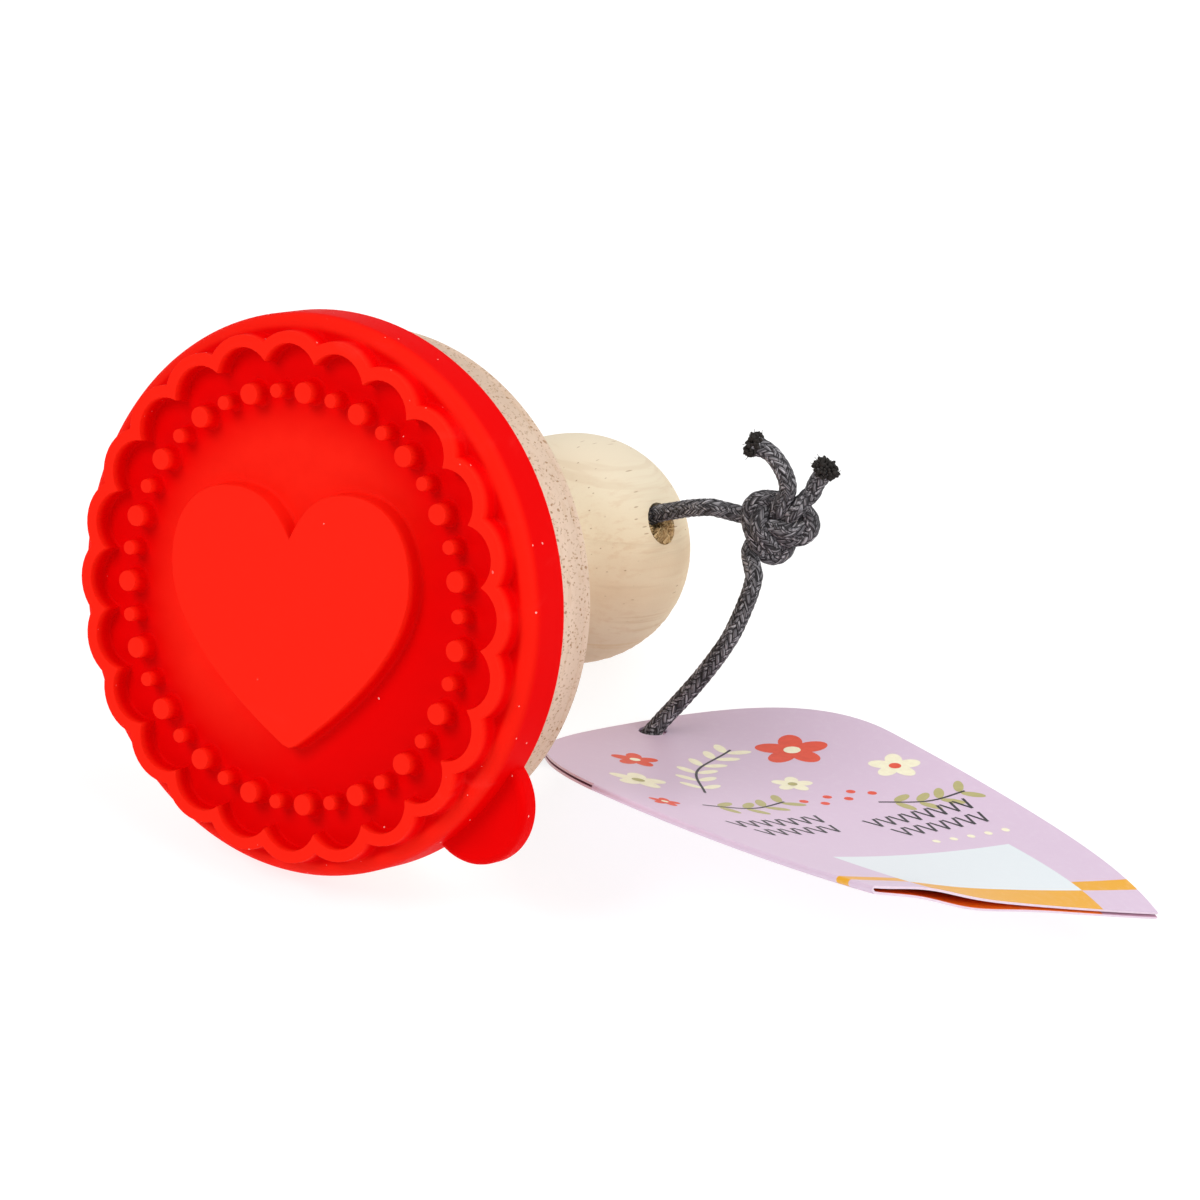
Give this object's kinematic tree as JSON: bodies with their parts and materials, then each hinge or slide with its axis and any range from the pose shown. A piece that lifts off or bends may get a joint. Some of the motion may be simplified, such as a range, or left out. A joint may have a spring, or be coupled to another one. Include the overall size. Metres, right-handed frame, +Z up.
{
  "type": "cookie stamp",
  "caption": "Cookie stamp with a turned beech handle and disc, a red silicone cap with a heart in a ring of dots and scallops, and a folded swing tag on a knotted cord.",
  "frame": {"origin": "on the ground under the centre of the box round the stamp itself, without cord and tag", "axes": "+Z up, -Y the way the stamping face looks, +X towards the tag"},
  "size_m": [0.1326, 0.0848, 0.068],
  "materials": {
    "beech": "matte",
    "silicone": "satin",
    "waxed_cotton": "matte",
    "lilac_card": "satin"
  },
  "bodies": {
    "stamp": {"base_disc": "beech", "handle": "beech", "dowel": "beech", "cord_in_handle": "waxed_cotton", "cord_front_end": "waxed_cotton", "cord_rear_end": "waxed_cotton", "cord_tag_stretch": "waxed_cotton"},
    "cap": {"stamp_pad": "silicone"},
    "tag": {"tag_back_leaf": "lilac_card"},
    "leaf": {"tag_front_leaf": "lilac_card"}
  },
  "joints": [
    {"name": "pad_pull", "type": "slide", "parent": "stamp", "child": "cap", "axis": [0, -0.9389, 0.3442], "range_m": [0, 0.03]},
    {"name": "tag_swing", "type": "hinge", "parent": "stamp", "child": "tag", "pos_m": [0.02276, 0.01272, 0.00362], "axis": [0, 0, 1], "range_deg": [-8, 20], "deforming": ["cord_tag_stretch"]},
    {"name": "leaf_open", "type": "hinge", "parent": "tag", "child": "leaf", "pos_m": [0.03619, -0.01702, 0.01677], "axis": [0.9609, -0.1733, 0.216], "range_deg": [0, 8], "deforming": ["cord_tag_stretch"]}
  ]
}
